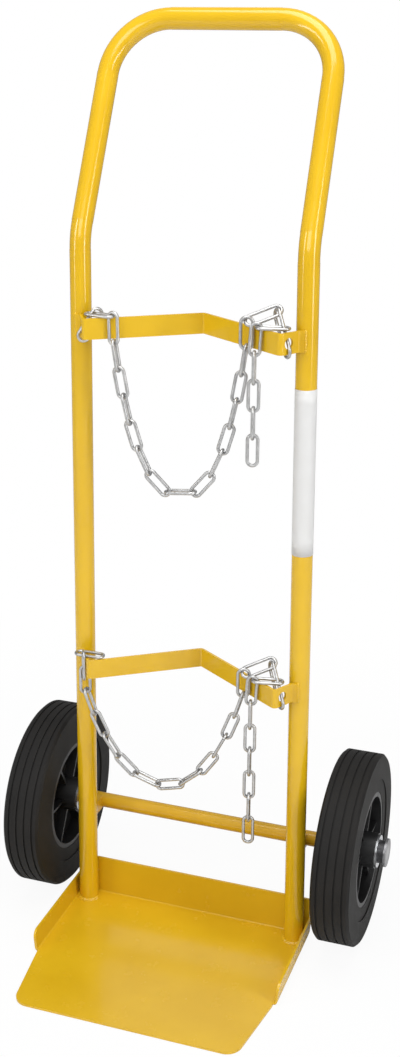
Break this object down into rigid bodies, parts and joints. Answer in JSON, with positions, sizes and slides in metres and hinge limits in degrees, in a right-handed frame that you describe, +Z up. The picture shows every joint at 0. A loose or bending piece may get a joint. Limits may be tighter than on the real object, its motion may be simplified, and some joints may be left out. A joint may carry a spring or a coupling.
{
  "type": "gas cylinder trolley",
  "caption": "Two-wheeled hand trolley for a gas cylinder: bent tube frame, V-shaped back bars with retaining chains, low toe plate, axle and pneumatic-style wheels.",
  "frame": {"origin": "on the floor, midway between the uprights, under the toe plate where the uprights stand", "axes": "+Z up, +X to the right of someone facing the front, -Y to the front where the toe plate reaches"},
  "size_m": [0.5142, 0.415, 1.1607],
  "materials": {
    "yellow_paint": "glossy powder coat on steel tube, strip and sheet",
    "black_tyre": "moulded rubber with ring grooves",
    "black_plastic": "moulded nylon",
    "bare_steel": "turned",
    "zinc_plate": "bright zinc plate"
  },
  "bodies": {
    "frame": {"frame_tube": "yellow_paint", "upper_crossbar": "yellow_paint", "lower_crossbar": "yellow_paint", "toe_plate": "yellow_paint", "left_axle_lug": "yellow_paint", "right_axle_lug": "yellow_paint", "axle": "yellow_paint", "left_inner_washer": "zinc_plate", "left_outer_washer": "zinc_plate", "left_bush": "bare_steel", "left_end_disc": "bare_steel", "right_inner_washer": "zinc_plate", "right_outer_washer": "zinc_plate", "right_bush": "bare_steel", "right_end_disc": "bare_steel", "upper_left_end_link": "zinc_plate", "upper_left_top_link": "zinc_plate", "upper_left_hanger": "zinc_plate", "upper_right_end_link": "zinc_plate", "upper_right_slope_link": "zinc_plate", "upper_right_hanger": "zinc_plate", "upper_tail_top_link": "zinc_plate", "upper_tail_hanger": "zinc_plate", "lower_left_end_link": "zinc_plate", "lower_left_side_link": "zinc_plate", "lower_left_top_link": "zinc_plate", "lower_right_end_link": "zinc_plate", "lower_right_slope_link": "zinc_plate", "lower_right_hanger": "zinc_plate", "lower_tail_top_link": "zinc_plate", "lower_tail_hanger": "zinc_plate"},
    "left_wheel": {"left_tyre": "black_tyre", "left_rim": "black_plastic", "left_roller_cage": "black_plastic", "left_rollers": "bare_steel"},
    "right_wheel": {"right_tyre": "black_tyre", "right_rim": "black_plastic", "right_roller_cage": "black_plastic", "right_rollers": "bare_steel"},
    "upper_chain": {"upper_loop": "zinc_plate"},
    "upper_chain_end": {"upper_tail": "zinc_plate"},
    "lower_chain": {"lower_loop": "zinc_plate"},
    "lower_chain_end": {"lower_tail": "zinc_plate"}
  },
  "joints": [
    {"name": "left_wheel_spin", "type": "hinge", "parent": "frame", "child": "left_wheel", "pos_m": [-0.21, 0.047, 0.128], "axis": [1, 0, 0], "continuous": true},
    {"name": "right_wheel_spin", "type": "hinge", "parent": "frame", "child": "right_wheel", "pos_m": [0.21, 0.047, 0.128], "axis": [1, 0, 0], "continuous": true},
    {"name": "upper_chain_swing", "type": "hinge", "parent": "frame", "child": "upper_chain", "pos_m": [-0.0861, -0.02892, 0.78781], "axis": [-0.9979, -0.0573, -0.0293], "range_deg": [-30, 40]},
    {"name": "upper_end_swing", "type": "hinge", "parent": "frame", "child": "upper_chain_end", "pos_m": [0.0861, -0.02892, 0.78781], "axis": [-0.9835, -0.1807, 0], "range_deg": [-15, 60]},
    {"name": "lower_chain_swing", "type": "hinge", "parent": "frame", "child": "lower_chain", "pos_m": [-0.13141, -0.0305, 0.3299], "axis": [-0.9921, -0.0468, -0.1167], "range_deg": [-20, 40]},
    {"name": "lower_end_swing", "type": "hinge", "parent": "frame", "child": "lower_chain_end", "pos_m": [0.09013, -0.02966, 0.34981], "axis": [-0.979, -0.2037, 0], "range_deg": [-15, 60]}
  ]
}
